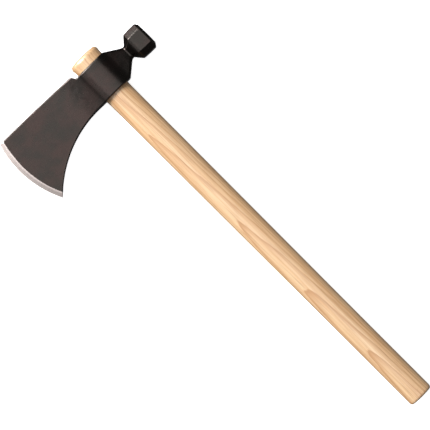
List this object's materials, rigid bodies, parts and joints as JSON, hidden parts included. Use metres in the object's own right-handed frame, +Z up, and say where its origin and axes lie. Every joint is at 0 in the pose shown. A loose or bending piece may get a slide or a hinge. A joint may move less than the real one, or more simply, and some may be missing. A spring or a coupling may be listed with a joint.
{
  "type": "tomahawk",
  "caption": "Hammer-poll belt axe: forged bearded blade with a bright ground edge and octagonal hammer poll, slipped up a straight oval hickory haft and held by a set screw.",
  "frame": {"origin": "under the middle of the whole axe's box as it lies on its side, at the height of the poll's lower flat", "axes": "+X from the cutting edge to the hammer poll, +Y from the haft's butt to the top of the head, +Z up, square to the blade's cheek"},
  "size_m": [0.2175, 0.559, 0.0365],
  "materials": {
    "blackened_steel": "satin black forged steel, with a bright ground edge",
    "hickory": "smooth turned hickory with a thin clear coat",
    "screw_steel": "black oxide"
  },
  "bodies": {
    "haft": {"haft": "hickory"},
    "head": {"axe_head": "blackened_steel"},
    "screw": {"set_screw": "screw_steel"}
  },
  "joints": [
    {"name": "head_slide", "type": "slide", "parent": "haft", "child": "head", "axis": [0, -1, 0], "range_m": [0, 0.56]},
    {"name": "screw_out", "type": "slide", "parent": "head", "child": "screw", "axis": [0, 0, -1], "range_m": [0, 0.0045]}
  ]
}
